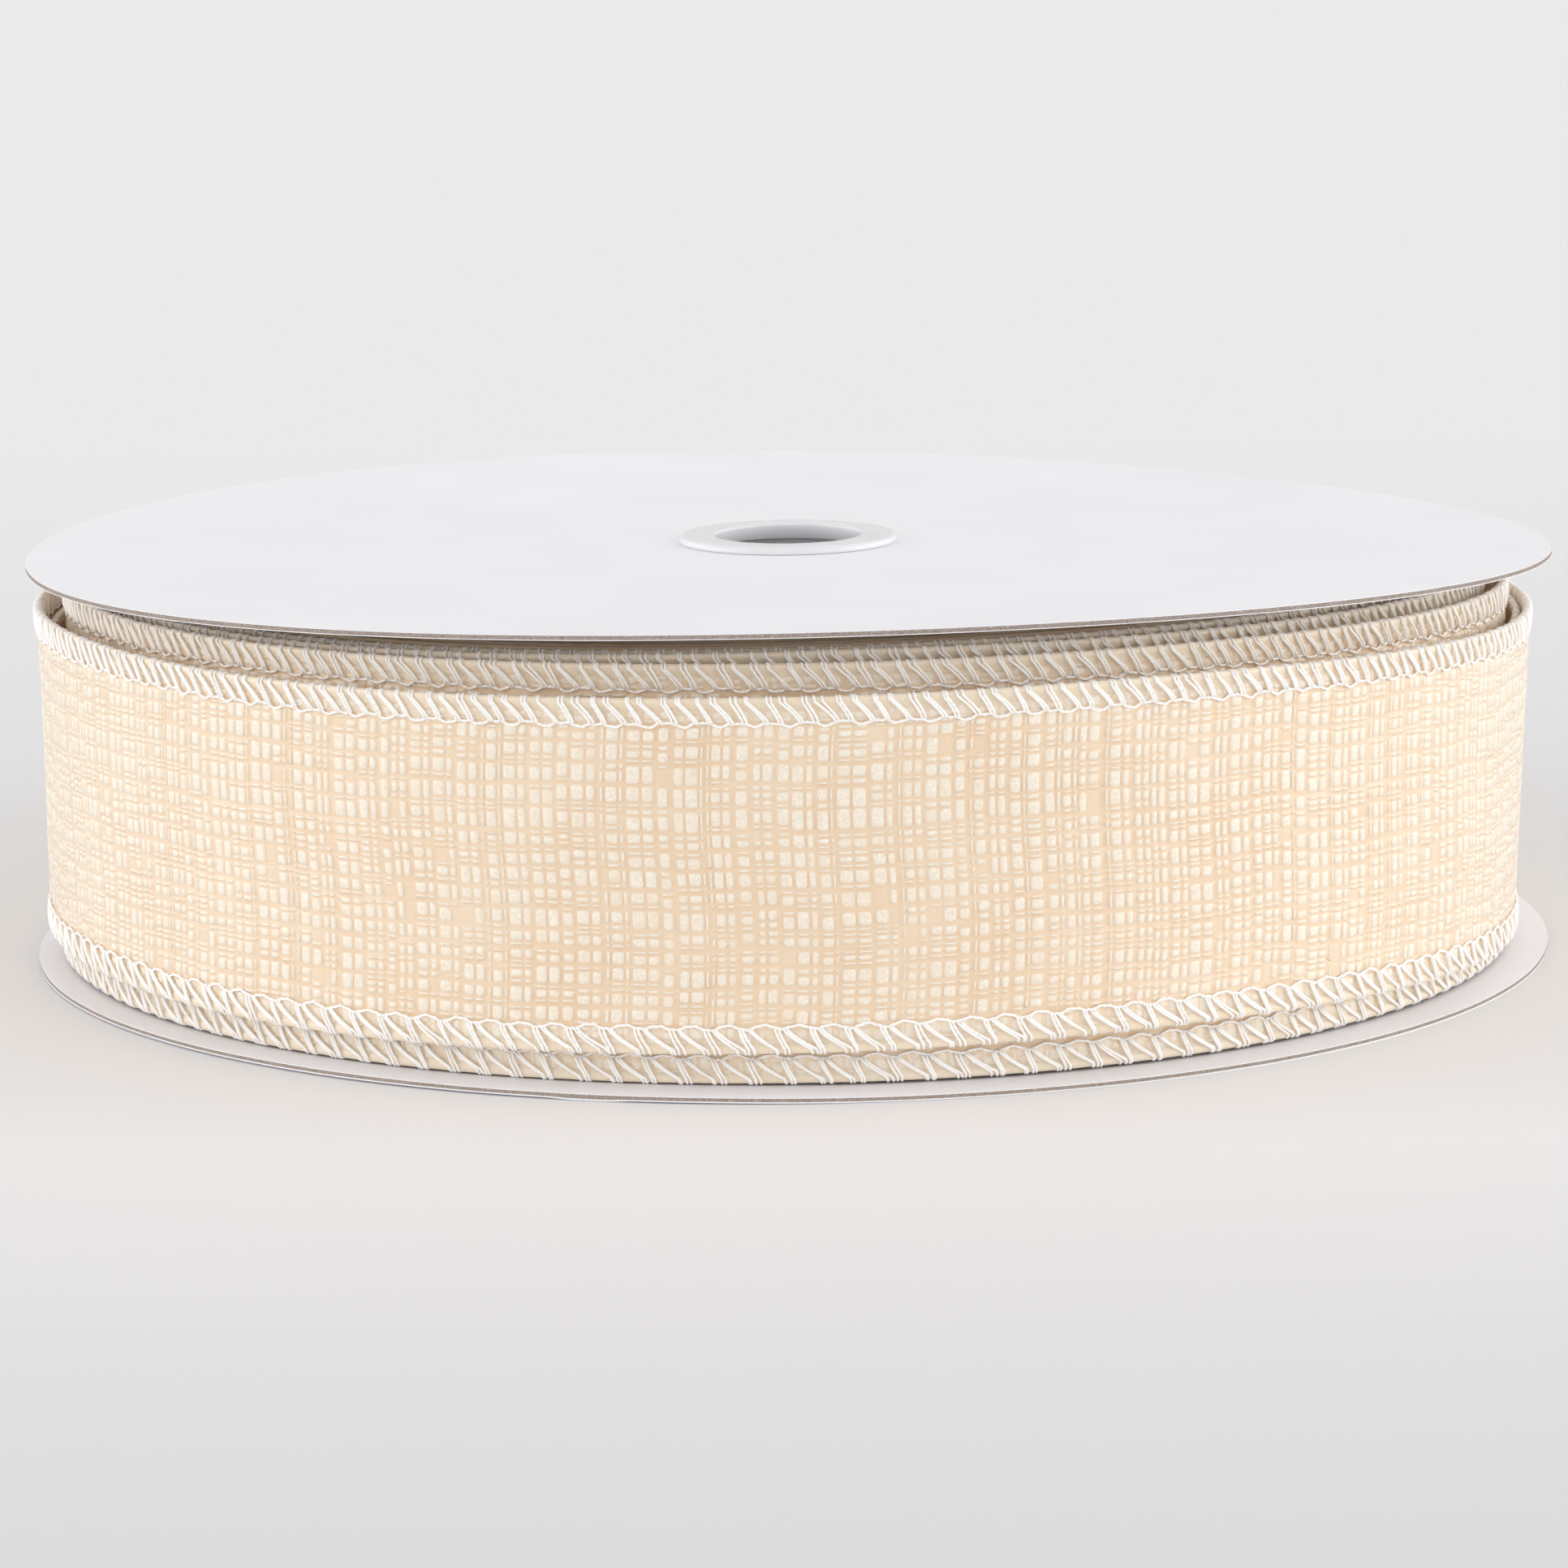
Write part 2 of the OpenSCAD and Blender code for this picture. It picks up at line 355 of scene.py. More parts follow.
def plastic_material(name, col, rough, transmission=0.0):
    m, nt, p = material(name)
    f = noise(nt, 160, 2, 0.5)
    c = ramp(nt, f.outputs["Fac"], [(0.3, tuple(0.96 * x for x in col)), (0.7, col)])
    nt.links.new(c.outputs["Color"], p.inputs["Base Color"])
    r = ramp(nt, f.outputs["Fac"], [(0.3, (rough,) * 3), (0.7, (rough + 0.08,) * 3)])
    nt.links.new(r.outputs["Color"], p.inputs["Roughness"])
    p.inputs["Transmission Weight"].default_value = transmission
    p.inputs["IOR"].default_value = 1.46
    return m


CLOTH = cloth_material()
THREAD = thread_material("spun_thread", (0.965, 0.945, 0.91), (0.995, 0.985, 0.97))
# painted light: a creamier copy of the white thread, whose cream tint stands in for warm bounce light in the shade
# under the top flange
THREAD_WARM_BOUNCE = thread_material("spun_thread_painted_warm_bounce", (0.97, 0.935, 0.875), (0.995, 0.975, 0.94))
LINER = liner_material("coated_liner", (0.85, 0.845, 0.868), (0.87, 0.865, 0.888))
LINER_IN = liner_material("coated_liner_inside", (0.90, 0.89, 0.92), (0.92, 0.91, 0.94))
BOARD = board_material("chipboard", (0.13, 0.10, 0.08), (0.36, 0.30, 0.26), (0.66, 0.60, 0.55))
KRAFT = board_material("core_kraft_board", (0.24, 0.17, 0.11), (0.38, 0.28, 0.19), (0.5, 0.4, 0.29))
CLEAR = plastic_material("clear_plastic", (0.925, 0.925, 0.95), 0.15, 0.2)
PLUG = plastic_material("white_plug_plastic", (0.86, 0.855, 0.86), 0.38)
# partly painted shade: the tan mixes cloth and thread colour, and its depth stands in for warm bounce light in the
# shaded gaps between the flanges
HEM_WARM_SHADE = liner_material("stitched_edge_painted_warm_shade", (0.82, 0.63, 0.43), (0.90, 0.745, 0.56))
TAPE = liner_material("paper_tape", (0.78, 0.75, 0.66), (0.83, 0.81, 0.73))
WIRE, nt_, p_ = material("coated_wire")
f_ = noise(nt_, 900, 2, 0.5)
nt_.links.new(ramp(nt_, f_.outputs["Fac"], [(0.3, (0.70, 0.69, 0.66)), (0.7, (0.8, 0.79, 0.76))]).outputs["Color"], p_.inputs["Base Color"])
nt_.links.new(ramp(nt_, f_.outputs["Fac"], [(0.3, (0.35,) * 3), (0.7, (0.5,) * 3)]).outputs["Color"], p_.inputs["Roughness"])

# CAD nodes that keep their shape
for name, mat in (("core_tube", KRAFT), ("top_core_plug", PLUG), ("bottom_core_plug", PLUG), ("ribbon_start_tape", TAPE)):
    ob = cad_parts[name]
    ob.data.materials.clear()
    ob.data.materials.append(mat)


# ---------------------------------------------------------------- flanges
def disc_layer(name, cad, body, mat, under, a, b, bulge=None, segs=720):
    """One layer of a flange, from a to b above the board's underside, with its cut edge."""
    ang = np.arange(segs) * 2 * math.pi / segs
    radii = np.concatenate([[HOLE_R], np.linspace(13, FLANGE_R - 1.5, 26), [FLANGE_R - 0.5, FLANGE_R - 0.04]])
    wob = 0.02 * np.sin(5 * ang + 1) + 0.012 * np.sin(31 * ang)
    nick = np.exp(-(((ang - math.radians(323.2) + math.pi) % (2 * math.pi) - math.pi) / math.radians(0.28)) ** 2) * 0.3
    rims = []
    for side, h in ((1, b), (0, a)):
        rows = []
        for r in radii if side else radii[::-1]:
            k = smooth((r - 60) / 30)
            rr = r + (wob - (nick if cad.startswith("top") else 0)) * k
            x, y = rr * np.cos(ang), rr * np.sin(ang)
            rows.append(np.stack([x, y, under(x, y) + h + (bulge(x, y, h) if bulge else 0)], -1))
        rims.append(np.array(rows))
    v = np.concatenate(rims)
    n = len(v)
    v = np.concatenate([v, v[:1]]).reshape(-1, 3)
    f = grid_faces(n, segs, True)
    last = np.arange((n - 1) * segs, n * segs)
    first = np.arange(segs)
    close = np.stack([last, first, np.roll(first, -1), np.roll(last, -1)], -1)
    v = v[: n * segs]
    ob = build(name, v, [np.concatenate([f, close])], mat)
    # hard edges where the faces meet the cut edge
    me = ob.data
    rim = len(radii)
    rings = {0, rim - 1, rim, n - 1}
    ed = np.empty(len(me.edges) * 2, np.int32)
    me.edges.foreach_get("vertices", ed)
    ed = ed.reshape(-1, 2) // segs
    sharp = (ed[:, 0] == ed[:, 1]) & np.isin(ed[:, 0], list(rings))
    at = me.attributes.new("sharp_edge", "BOOLEAN", "EDGE")
    at.data.foreach_set("value", sharp)
    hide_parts(cad)
    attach(ob, body)
    return ob


def peel(x, y, h):
    """A short stretch at the front where the lower liner has come away from the board."""
    a = (np.degrees(np.arctan2(y, x)) % 360 - 256.0) / 2.3
    k = np.exp(-(a**4)) * smooth((np.hypot(x, y) - 86) / 4)
    return k * (-0.15 if h < 0.04 else -0.1 if h < 0.2 else 0.0)


under_top = lambda x, y: top_bend(x, y) - 0.6
disc_layer("top_flange_face_liner", "top_flange_outer_liner", "top_flange", LINER, under_top, 0.52, 0.6)
disc_layer("top_flange_chipboard", "top_flange_board", "top_flange", BOARD, under_top, 0.08, 0.52)
disc_layer("top_flange_back_liner", "top_flange_inner_liner", "top_flange", LINER_IN, under_top, 0.0, 0.08)
disc_layer("bottom_flange_face_liner", "bottom_flange_inner_liner", "bottom_flange", LINER_IN, bottom_bend, 0.52, 0.6)
disc_layer("bottom_flange_chipboard", "bottom_flange_board", "bottom_flange", BOARD, bottom_bend, 0.15, 0.52, peel)
disc_layer("bottom_flange_back_liner", "bottom_flange_outer_liner", "bottom_flange", LINER, bottom_bend, 0.0, 0.15, peel)


# ---------------------------------------------------------------- eyelets
def eyelet(name, cad, flip):
    """Lathe: a soft-edged collar and its sleeve, with a small step inside the mouth."""
    def arc(cx, cy, r, a0, a1, n=6):
        t = np.radians(np.linspace(a0, a1, n))
        return [(cx + r * math.cos(a), cy + r * math.sin(a)) for a in t]
    prof = [(9.6, 8.75), (9.6, 2.15), (9.45, 1.95), (8.85, 1.82), (8.75, 1.7), (8.75, 0.30)] + arc(9.05, 0.30, 0.30, 180, 270)[1:]
    prof += [(12.0, 0.0)] + arc(12.35, 0.55, 0.55, 270, 360) + [(12.9, 0.80), (12.85, 0.85), (10.15, 0.85), (10.0, 0.95), (10.0, 8.6), (9.92, 8.83), (9.7, 8.85)]
    prof = np.array(prof)
    segs = 160
    ang = np.arange(segs) * 2 * math.pi / segs
    z = 48.4 - prof[:, 1] if flip else prof[:, 1]
    v = np.stack([prof[:, 0, None] * np.cos(ang), prof[:, 0, None] * np.sin(ang), np.repeat(z[:, None], segs, 1)], -1)
    n = len(prof)
    f = grid_faces(n, segs, True)
    last, first = np.arange((n - 1) * segs, n * segs), np.arange(segs)
    f = np.concatenate([f, np.stack([last, first, np.roll(first, -1), np.roll(last, -1)], -1)])
    if not flip:
        f = f[:, ::-1]
    ob = build(name, v.reshape(-1, 3), [f], CLEAR)
    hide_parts(cad)
    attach(ob, "hub")
    return ob


eyelet("top_eyelet_clear", "top_hub_eyelet", True)
eyelet("bottom_eyelet_clear", "bottom_hub_eyelet", False)


# ---------------------------------------------------------------- ribbon fabric
def columns(length, r):
    """Raised cells along the ribbon as (start, end, group): one to three side by side, then a smooth gap."""
    kinds = ("L", "LL", "Ls", "LL", "sL", "LM", "ML", "LLs", "sLs", "MM", "sLM", "L", "LL")
    out, at, g = [], 0.4, 0
    while True:
        for c in kinds[r.integers(len(kinds))]:
            w = r.uniform(0.27, 0.42) if c == "s" else r.uniform(0.7, 0.95) if c == "M" else r.uniform(1.0, 1.5)
            if at + w > length:
                return out
            out.append((at, at + w, g))
            at += w + r.uniform(0.15, 0.22)
        at += r.uniform(0.05, 0.4) if r.random() < 0.85 else r.uniform(0.5, 0.9)
        g += 1


# the cloth folds round the wire at each edge: (height above the edge, offset from the middle)
FOLD = np.array([(1.25, -0.2), (0.75, -0.24), (0.3, -0.29), (0.06, -0.14), (0.06, 0.14), (0.3, 0.29), (0.7, 0.27)])


def cuts(a, b, few):
    """Grid lines across one cell, their height (0 to 1) and their place: 2 outside, 1 on the shoulder, 0 on top."""
    w = b - a
    f, q = np.minimum(0.14, 0.26 * w), np.minimum(0.42, 0.42 * w)
    if few:
        return [a, a + f, b - f, b], [0, 1, 1, 0], [2, 1, -1, -2]
    return [a, a + f, a + q, b - q, b - f, b], [0, 1, 1.07, 1.07, 1, 0], [2, 1, 0, 0, -1, -2]


def embossed(s0, s1, seed, low=1.1, high=None, below=(), above=()):
    """A length of cloth whose grid lines follow the embossed cells, so that each cell's edge is crisp."""
    r = np.random.default_rng(seed)
    high = W - 1.1 if high is None else high
    cols = columns(s1 - s0 - 0.3, r)
    S, hs, ss, ci = [0.0], [0.0], [0], [0]
    for i, (a, b, g) in enumerate(cols):
        x, h, k = cuts(a, b, b - a < 0.5)
        S += x
        hs += h
        ss += k
        ci += [i] * len(x)
    S, hs, ss, ci = np.array(S + [s1 - s0]), np.array(hs + [0.0]), np.array(ss + [0]), np.array(ci + [len(cols) - 1])
    groups = np.array([c[2] for c in cols])[ci]
    ng = groups.max() + 1
    # bands of rows run along the whole ribbon; each group of columns cuts a band up in its own way
    main, at = [], low
    while at < high - 1.2:
        h = min(r.uniform(1.75, 2.5), high - at)
        if high - at - h < 1.2:
            h = high - at
        main.append((at, at + h - r.uniform(0.18, 0.4)))
        at += h
    nb = len(main)
    drift = np.convolve(r.normal(0, 0.42, ng + 8), np.array([1, 2, 3, 2, 1]) / 9, "same")[4 : ng + 4]
    V, HV, SV, SZ = [], [], [], []
    for b, (lo, hi) in enumerate(main):
        sides = np.array([(0, 0), (0, 0), (1, 0), (1, 0), (0, 1), (0, 1), (1, 1)])[r.integers(0, 7, ng)]
        thin = np.where(r.random((ng, 2)) < 0.8, r.uniform(0.25, 0.4, (ng, 2)), r.uniform(0.5, 0.7, (ng, 2)))
        part = np.where(sides == 0, 0.03, thin)
        free = hi - lo - 0.4
        part = part * np.minimum(1, (free - 0.55) / part.sum(1))[:, None]
        gap = 0.17
        t0, t2 = part[:, 0], part[:, 1]
        off = (drift + r.normal(0, 0.05, ng)) * (0 if b in (0, nb - 1) else 1)
        a0 = lo + off
        a1 = a0 + t0 + gap * (t0 > 0.05)
        b1 = hi + off - t2 - gap * (t2 > 0.05)
        for (x, y, few, on) in ((a0, a0 + t0, True, t0 > 0.05), (a1, b1, False, np.ones(ng, bool)), (hi + off - t2, hi + off, True, t2 > 0.05)):
            lines, h, k = cuts(x, y, few)
            V.append(np.stack(lines, -1))
            HV.append(np.array(h)[None] * on[:, None])
            SV.append(np.array(k)[None] * on[:, None])
            SZ.append(np.repeat((y - x)[:, None], len(h), 1))
    cell = np.repeat(np.arange(nb * 3), [x.shape[1] for x in V])
    V, HV, SV, SZ = (np.concatenate(x, 1) for x in (V, HV, SV, SZ))
    V = np.maximum.accumulate(V, 1)
    nf = len(FOLD)
    pre, post = np.concatenate([FOLD[:, 0], below]), np.concatenate([above, W - FOLD[::-1, 0]])
    na, nz = len(pre), len(post)

    def spread(x, a, z):
        return np.concatenate([np.repeat(a[None], ng, 0), x, np.repeat(z[None], ng, 0)], 1)[groups]

    v = spread(V, pre, post)
    hv, sv = spread(HV, np.zeros(na), np.zeros(nz)), spread(SV, np.zeros(na), np.zeros(nz))
    sz = spread(SZ, np.ones(na), np.ones(nz))
    ri = np.concatenate([np.zeros(na, int), cell, np.full(nz, nb * 3 - 1)])
    s = np.repeat(S[:, None], v.shape[1], 1)
    # rounded corners, and no two cells quite alike
    width = np.array([c[1] - c[0] for c in cols])[ci][:, None]
    k = 1.15 * np.minimum(1, np.minimum(width, sz) / 0.85)
    sx = np.repeat(ss[:, None], v.shape[1], 1) * (sv != 0)
    sv = sv * (sx != 0) + 0
    ox, ov = np.abs(sx), np.abs(sv)
    move_s = np.select([(ox == 2) & (ov == 2), (ox == 2) & (ov == 1), (ox == 1) & (ov == 1)], [0.088, 0.068, 0.056], 0.0)
    move_v = np.select([(ox == 2) & (ov == 2), (ox == 1) & (ov == 2), (ox == 1) & (ov == 1)], [0.088, 0.068, 0.056], 0.0)
    shape = (len(cols), nb * 3)
    es, ev = r.uniform(-0.02, 0.03, shape)[ci][:, ri], r.uniform(-0.02, 0.03, shape)[ci][:, ri]
    on = (hs[:, None] > 0) | (ox == 2)
    s = s + np.sign(sx) * (move_s * k + es * np.minimum(1, width))
    v = v + np.sign(sv) * (move_v * k + ev * np.minimum(1, sz)) + np.where(on, r.normal(0, 0.018, shape)[ci][:, ri], 0) * (sv != 0)
    s = s + 0.25 * np.sin(v * 0.21 + s0) * np.minimum(1, np.minimum(S, s1 - s0 - S)[:, None] / 3)
    amp = r.uniform(0.7, 1.1, shape)
    amp[r.random(shape) < 0.03] = 0.1
    h = hs[:, None] * hv * amp[ci][:, ri]
    h = h * (1 - 0.16 * r.random(h.shape))
    tone = np.clip(h * 1.05 + 0.02, 0, 1)
    # under the stitches the cells are pressed flat and the cloth is paler
    deep = np.clip(1 - (np.minimum(v, W - v) - 2.5) / 0.5, 0, 1)
    tone = tone * (1 - 0.4 * deep) + 0.42 * deep
    n = 0.06 + 0.15 * h * (1 - 0.4 * deep)
    edge = np.zeros(v.shape[1], bool)
    edge[:nf] = edge[-nf:] = True
    n[:, :nf] = FOLD[:, 1] + r.uniform(-0.02, 0.02, (len(S), nf))
    n[:, -nf:] = FOLD[::-1, 1] + r.uniform(-0.02, 0.02, (len(S), nf))
    n += (0.03 * np.sin(s / 2.3 + 1.7 * np.sin(v / 5)) + 0.05 * np.sin((s + s0) / 9.1 + v / 13)) * ~edge
    # the stitches pull the cloth in a little along the chain
    for e in (v, W - v):
        n -= 0.05 * np.exp(-(((e - 2.8) / 0.35) ** 2))
    p = wrap(s + s0, v, n)
    return p.reshape(-1, 3), grid_faces(*h.shape), tone.ravel(), h.shape


def plain_cloth(s0, s1, step, vs, seed):
    """Turns further in, of which only the edges show."""
    r = np.random.default_rng(seed)
    S = np.linspace(s0, s1, max(2, int((s1 - s0) / step)))
    v = np.concatenate([FOLD[:, 0], vs, W - FOLD[::-1, 0]])
    base = np.concatenate([FOLD[:, 1], np.full(len(vs), 0.05), FOLD[::-1, 1]])
    s, vv = np.meshgrid(S, v, indexing="ij")
    n = base[None] + 0.04 * np.sin(s / 6.1 + vv / 9) * (np.minimum(vv, W - vv) > 1.5) + 0.012 * r.normal(0, 1, s.shape)
    tone = r.uniform(0.2, 0.85, s.shape)
    return wrap(s, vv, n).reshape(-1, 3), grid_faces(*s.shape), tone.ravel()


S_OUT = s_of(front(0, 112))  # the visible turn begins under the free end
S_END = s_of(PHI_END)
S_TIP = s_of(PHI_END + TAIL)
VS = np.array([1.1, 1.7, 2.3, 2.9, 3.6, 4.4, 6, 9, 14, 19, 24, 29, 32, 33.7, 34.5, 35.2, 35.8, 36.4, 37.0])

p, f, t, _ = embossed(S_OUT, S_END, 5)
outer = build("ribbon_cloth_outer_turn", p, f, CLOTH, {"cell": t})
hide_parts("ribbon_fabric")
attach(outer, "hub")
p1, f1, t1 = plain_cloth(0.0, s_of(front(4, 112)), 1.8, VS, 8)
p2, f2, t2 = plain_cloth(s_of(front(4, 112)), s_of(front(2, 112)), 0.8, VS, 9)
p3, f3, t3, _ = embossed(s_of(front(2, 112)), s_of(front(1, 112)), 10, W - 7.2, W - 1.1, (1.3, 3, 6, 12, 19, 26, 30))
p4, f4, t4, _ = embossed(s_of(front(1, 112)), S_OUT, 12, 1.1, 6.2, (), (8, 13, 20, 27, 32, 35, 36.9))
p, t = np.concatenate([p1, p2, p3, p4]), np.concatenate([t1, t2, t3, t4])
f = np.concatenate([f1, f2 + len(p1), f3 + len(p1) + len(p2), f4 + len(p1) + len(p2) + len(p3)])
inner = build("ribbon_cloth_inner_turns", p, f, CLOTH, {"cell": t})
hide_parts("ribbon_fabric")
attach(inner, "hub")
p, f, t, _ = embossed(S_END, S_TIP, 6)
tail = build("tail_cloth", p, f, CLOTH, {"cell": t})
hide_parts("tail_fabric")

# ---------------------------------------------------------------- stitching
def strand_paths(s, ds, top, lane, pts, back=True):
    """One leg of each stitch: from the chain line over the edge and down the back. s is the chain point of each."""
    k = len(s)
    # front leg from v=2.75 to the edge, then round the wire, then the back leg
    tf = np.linspace(0, 1, pts)
    lift = 0.31 + 0.08 * np.sin(tf * math.pi) + 0.10 * tf
    sweep = tf**1.3
    legs = [np.stack([sweep, 2.75 - 2.2 * tf, lift], -1)]
    ar = np.radians(np.linspace(25, 155, 4))
    legs.append(np.stack([np.full(4, 1.0) + np.linspace(0.03, 0.1, 4), 0.50 - 0.47 * np.sin(ar), 0.42 * np.cos(ar)], -1))
    if back:
        tb = np.linspace(0, 1, max(3, pts // 2))
        legs.append(np.stack([1.12 - 0.35 * tb, 0.6 + 2.1 * tb, -0.36 + 0.06 * tb], -1))
    path = np.concatenate(legs)
    out = np.repeat(path[None], k, 0)
    out[:, :, 0] = s[:, None] + path[None, :, 0] * ds[:, None] + lane
    if top:
        out[:, :, 1] = W - out[:, :, 1]
    return out


def chain_path(s0, s1, top, r, per):
    """The chain line: an arc and a short straight link in each stitch."""
    n = int((s1 - s0) / PERIOD * per)
    s = np.linspace(s0, s1, n)
    ph = (s - s0) % PERIOD
    w, d = (2.0, 0.36) if top else (2.85, 0.42)
    arc = np.where(ph < w, np.sin(np.clip(ph / w, 0, 1) * math.pi), 0.0)
    v = 2.72 + d * arc
    v = v + 0.05 * np.sin(s * 1.3 + r.uniform(0, 6)) + 0.04 * np.sin(s * 0.37)
    n_ = 0.27 + 0.05 * arc
    if top:
        v = W - v
    return np.stack([s, v, n_], -1)


def stitches(s0, s1, top, seed, sides, pts, per, back=True):
    r = np.random.default_rng(seed)
    n = int((s1 - s0) / PERIOD)
    at = s0 + np.arange(n) * PERIOD
    jit = r.normal(0, 0.07, n)
    parts = []
    rad = 0.145
    tw = 4.4 if sides > 6 else 0.0
    if top:
        # chain points: steep leg at 0, diagonal leg at 2.0; the edge lies to the left of them
        legs = ((0.05, -1.2, 0.1), (2.3, -1.95, 0.18))
    else:
        legs = ((0.0, 2.9, 0.2), (2.85, 1.05, 0.12))
    for off, ds, spread in legs:
        for lane in (-0.185, 0.185):
            d = ds + r.normal(0, spread, n) * 0.8
            pa = strand_paths(at + off + jit, d, top, lane, pts, back)
            pa[:, :, 0] += r.normal(0, 0.03, (n, 1))
            pa[:, :, 2] += np.where(pa[:, :, 2] > 0, r.uniform(0, 0.05, (n, 1)), 0)
            parts.append(tubes(pa, rad * r.uniform(0.9, 1.12, (n, 1)), sides, twist=tw))
    c = chain_path(s0 + 0.01, s1 - 0.01, top, r, per)
    parts.append(tubes(c[None], 0.13, sides))
    # second strand of the chain, twisted about the first
    c2 = c.copy()
    c2[:, 1] += 0.12 * np.cos(c2[:, 0] * 5.2)
    c2[:, 2] += 0.07 * np.sin(c2[:, 0] * 5.2)
    parts.append(tubes(c2[None], 0.11, sides))
    if back:
        cb = c[::2].copy()
        cb[:, 2] = -0.34
        parts.append(tubes(cb[None], 0.13, max(4, sides - 2)))
    v, fs = joined(parts)
    return wrap(v[:, 0], v[:, 1], v[:, 2]), fs


def hem_strip(s0, s1, top, per=4):
    """Inner turns: the stitched edge as one ribbed fold over the edge."""
    n = int((s1 - s0) / PERIOD * per)
    s = np.linspace(s0, s1, n)
    rib = 0.09 * np.where(np.arange(n) % 2 == 0, 1, -0.6)
    prof = np.array([(2.9, 0.16), (2.7, 0.34), (1.2, 0.42), (0.15, 0.28), (0.0, 0.0), (0.15, -0.28), (1.2, -0.4), (2.7, -0.32), (2.9, -0.14)])
    v = np.repeat(prof[None, :, 0], n, 0)
    nn = prof[None, :, 1] + np.sign(prof[None, :, 1]) * rib[:, None] * (np.abs(prof[None, :, 1]) > 0.25)
    ss = s[:, None] + (v - 1.4) * (-0.6 if top else 0.6) * 0 + 0 * v
    if top:
        v = W - v
    return wrap(ss, v, nn).reshape(-1, 3), [grid_faces(n, len(prof))]


for edge, top in (("top", True), ("bottom", False)):
    cad, tail_cad = f"ribbon_{edge}_stitching", f"tail_{edge}_stitching"
    # wound ribbon: fine threads on the turns whose edge shows, ribbed folds further in
    fine_from = s_of(front(4, 112)) if top else s_of(front(2, 112))
    parts = []
    v, fs = stitches(S_OUT, S_END, top, 21 + top, 8, 11, 12)
    ob = build(f"ribbon_{edge}_overlock_outer", v, fs, THREAD)
    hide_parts(cad)
    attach(ob, "hub")
    v, fs = stitches(fine_from, S_OUT, top, 31 + top, 6, 6, 9, back=False)
    # the top edge of the next turns gets the creamier thread copy, painted warm bounce light in the flange's shade
    ob = build(f"ribbon_{edge}_overlock_next", v, fs, THREAD_WARM_BOUNCE if top else THREAD)
    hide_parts(cad)
    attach(ob, "hub")
    v, fs = hem_strip(0.0, fine_from, top)
    # the inner turns' stitched edges take the tan with painted warm shade
    ob = build(f"ribbon_{edge}_overlock_inner", v, fs, HEM_WARM_SHADE)
    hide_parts(cad)
    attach(ob, "hub")
    v, fs = stitches(S_END, S_TIP, top, 41 + top, 8, 11, 12)
    ob = build(f"tail_{edge}_overlock", v, fs, THREAD)
    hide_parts(tail_cad)
    tail_thread = ob
    # wire in the edge
    for nm, a, b, cadn in (("ribbon", 0.0, S_END, f"ribbon_{edge}_wire"), ("tail", S_END, S_TIP, f"tail_{edge}_wire")):
        s = np.arange(a, b, 2.2)
        s = np.append(s, b)
        vv = W - 0.42 if top else 0.42
        v, fs = tubes(np.stack([s, np.full(len(s), vv), np.zeros(len(s))], -1)[None], 0.2, 6)
        ob = build(f"{nm}_{edge}_edge_wire", wrap(v[:, 0], v[:, 1], v[:, 2]), fs, WIRE)
        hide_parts(cadn)
        if nm == "ribbon":
            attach(ob, "hub")
        else:
            tail_wire = ob
    # bake the free end's transforms into its meshes; it stays apart from the hub
    for ob in (tail_thread, tail_wire) + ((tail,) if top else ()):
        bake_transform(ob)

# ---------------------------------------------------------------- stage, light and camera
fm, nt_, p_ = material("sweep_floor")
tc_ = nt_.nodes.new("ShaderNodeTexCoord")
sep_ = nt_.nodes.new("ShaderNodeSeparateXYZ")
nt_.links.new(tc_.outputs["Object"], sep_.inputs[0])
far_ = nt_.nodes.new("ShaderNodeMapRange")
far_.inputs["From Min"].default_value, far_.inputs["From Max"].default_value = -0.26, 0.5
nt_.links.new(sep_.outputs[1], far_.inputs["Value"])
# painted light: the floor is darker towards the camera, has a painted pool of bounce light just in front of the spool,
# and is lighter again far behind
floor_tone_painted_light = ramp(nt_, far_.outputs[0], [(0.0, (0.70, 0.695, 0.698)), (0.1, (0.75, 0.745, 0.748)), (0.2, (0.85, 0.84, 0.845)), (0.45, (0.755, 0.755, 0.757)), (1.0, (0.815, 0.818, 0.82))])
nt_.links.new(floor_tone_painted_light.outputs["Color"], p_.inputs["Base Color"])
p_.inputs["Roughness"].default_value = 0.75
p_.inputs["Specular IOR Level"].default_value = 0.2
me = bpy.data.meshes.new("floor")
me.from_pydata([(-12, -12, 0), (12, -12, 0), (12, 12, 0), (-12, 12, 0)], [], [(0, 1, 2, 3)])
me.materials.append(fm)
floor = bpy.data.objects.new("floor", me)
bpy.context.scene.collection.objects.link(floor)

# pale cloth in narrow gaps needs many bounces
bpy.context.scene.cycles.max_bounces = 20
bpy.context.scene.cycles.diffuse_bounces = 12
world = bpy.data.worlds.new("studio")
bpy.context.scene.world = world
world.use_nodes = True
wn = world.node_tree
wn.nodes.clear()
tc = wn.nodes.new("ShaderNodeTexCoord")
sep = wn.nodes.new("ShaderNodeSeparateXYZ")
wn.links.new(tc.outputs["Generated"], sep.inputs[0])


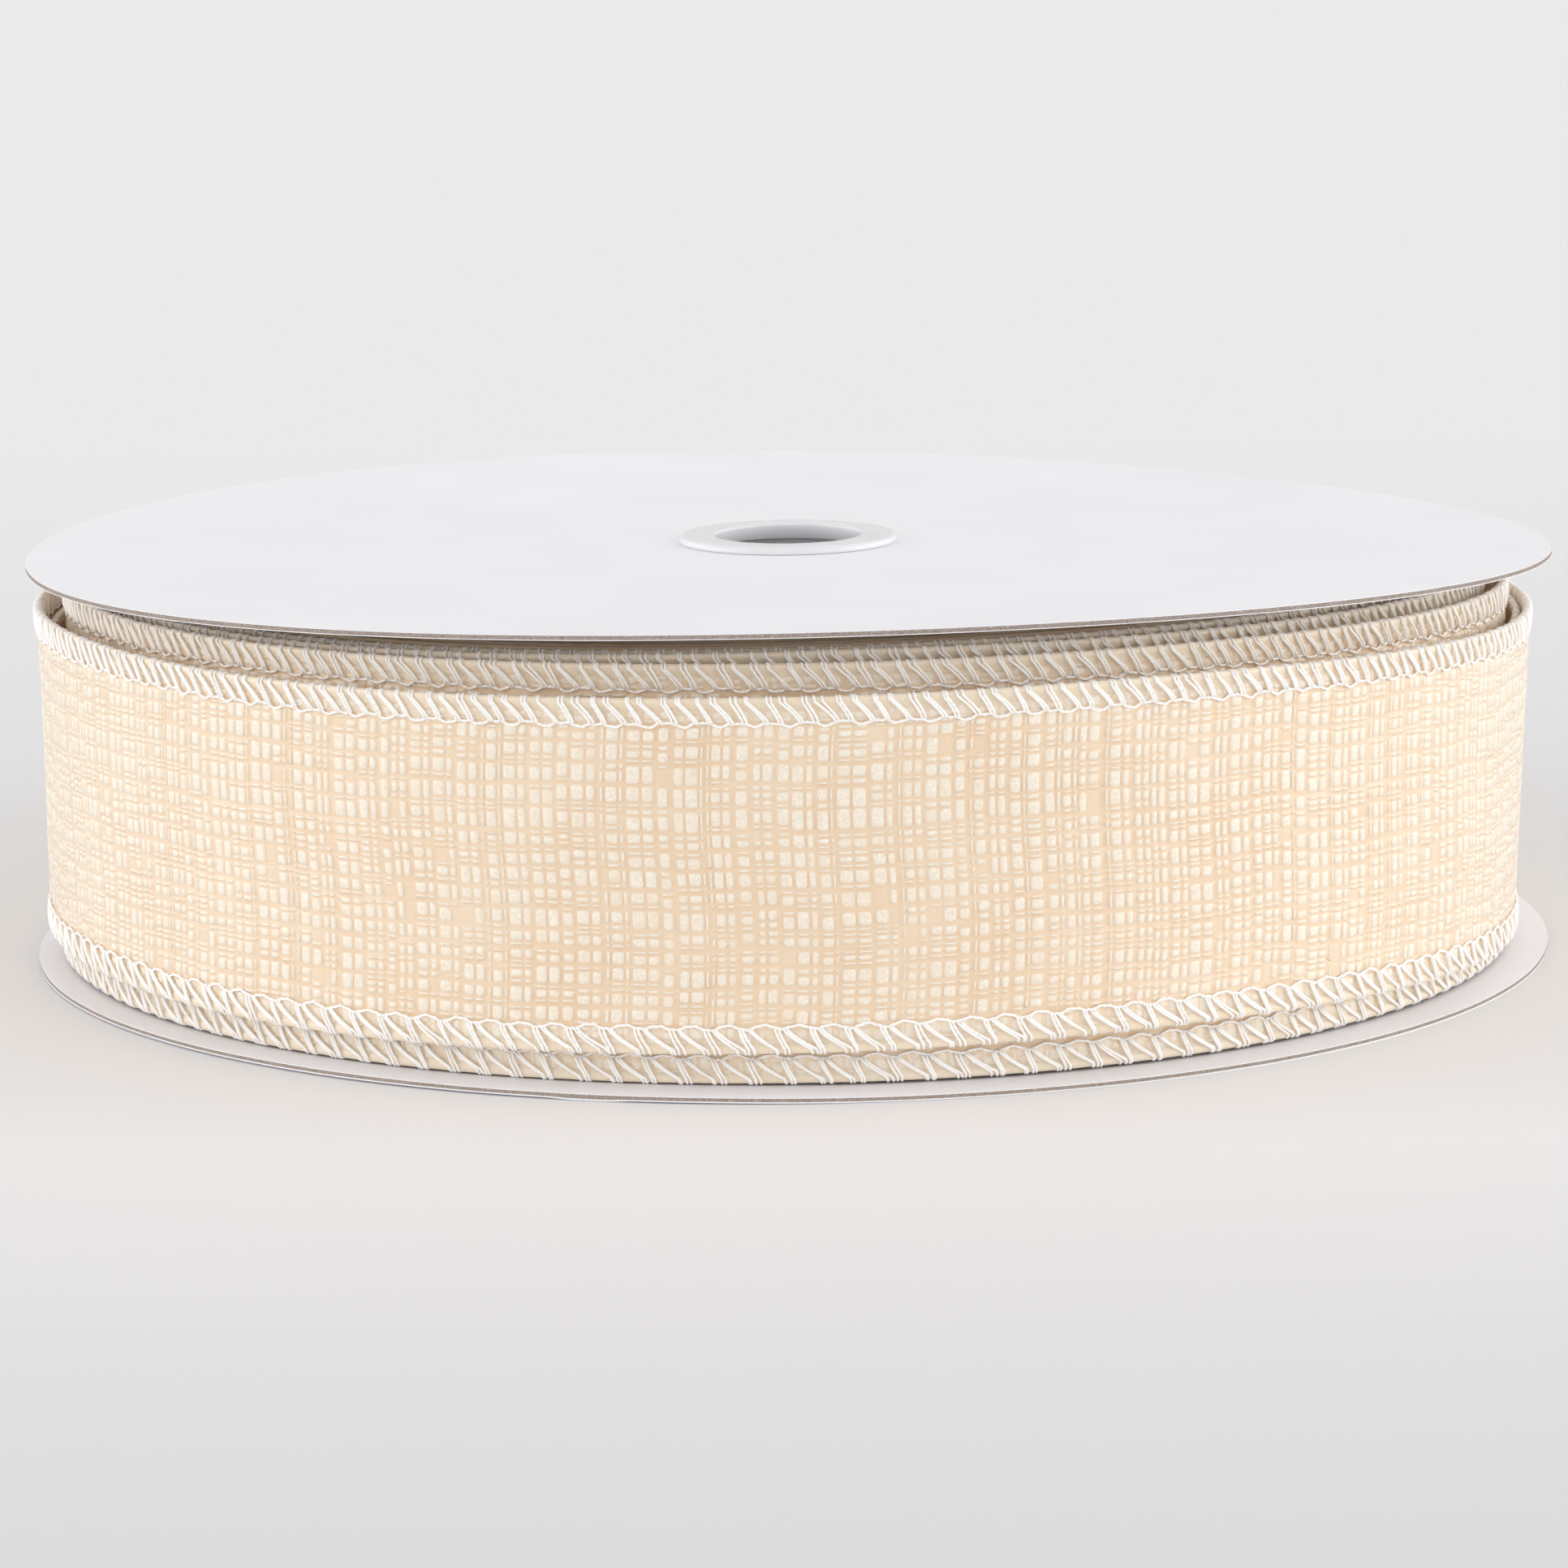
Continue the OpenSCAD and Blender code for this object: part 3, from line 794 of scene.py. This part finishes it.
def wmath(op, a, b):
    m = wn.nodes.new("ShaderNodeMath")
    m.operation = op
    for i, x in enumerate((a, b)):
        if isinstance(x, bpy.types.NodeSocket):
            wn.links.new(x, m.inputs[i])
        else:
            m.inputs[i].default_value = x
    return m.outputs[0]


# a white studio: soft boxes at both sides, a low fill from the front, and an even ceiling
low = wmath("SUBTRACT", 1.0, wmath("MAXIMUM", sep.outputs[2], 0.0))
side = wmath("MULTIPLY", wmath("POWER", wmath("ABSOLUTE", sep.outputs[0], 0.0), 4.0), low)
ahead_ = wmath("MAXIMUM", wmath("MULTIPLY", sep.outputs[1], -1.0), 0.0)
fill = wmath("MULTIPLY", ahead_, wmath("POWER", low, 5.0))
high = wmath("MULTIPLY", wmath("MAXIMUM", sep.outputs[2], 0.0), 0.10)
level = wmath("ADD", wmath("ADD", wmath("MULTIPLY", side, wmath("ADD", wmath("MULTIPLY", sep.outputs[0], 0.3), 3.5)), wmath("MULTIPLY", fill, 1.15)), wmath("ADD", high, 0.695))
bg = wn.nodes.new("ShaderNodeBackground")
bg.inputs["Color"].default_value = (1, 0.995, 0.995, 1)
wn.links.new(level, bg.inputs["Strength"])
wo = wn.nodes.new("ShaderNodeOutputWorld")
wn.links.new(bg.outputs[0], wo.inputs[0])

F_PX, DIST, CAM_H, PITCH_A, ROLL, YAW = 7.10901, 680.018, 139.403, 0.176466, -0.013205, -0.0012611
cam_data = bpy.data.cameras.new("camera")
cam_data.sensor_width = 36
cam_data.lens = 36 * F_PX * 1000 / 1932
cam_data.clip_start, cam_data.clip_end = 0.01, 50
cam = bpy.data.objects.new("camera", cam_data)
bpy.context.scene.collection.objects.link(cam)
c, s = math.cos(YAW), math.sin(YAW)
ct, st = math.cos(PITCH_A), math.sin(PITCH_A)
right = Vector((c, -s, 0))
ahead = Vector((s * ct, c * ct, -st))
up = Vector((s * st, c * st, ct))
cr, sr = math.cos(ROLL), math.sin(ROLL)
rc, uc = right * cr + up * sr, up * cr - right * sr
rot = Matrix((rc, uc, -ahead)).transposed().to_4x4()
cam.matrix_world = Matrix.Translation((0, -DIST / 1000, CAM_H / 1000)) @ rot
bpy.context.scene.camera = cam
bpy.context.scene.view_settings.view_transform = "Standard"
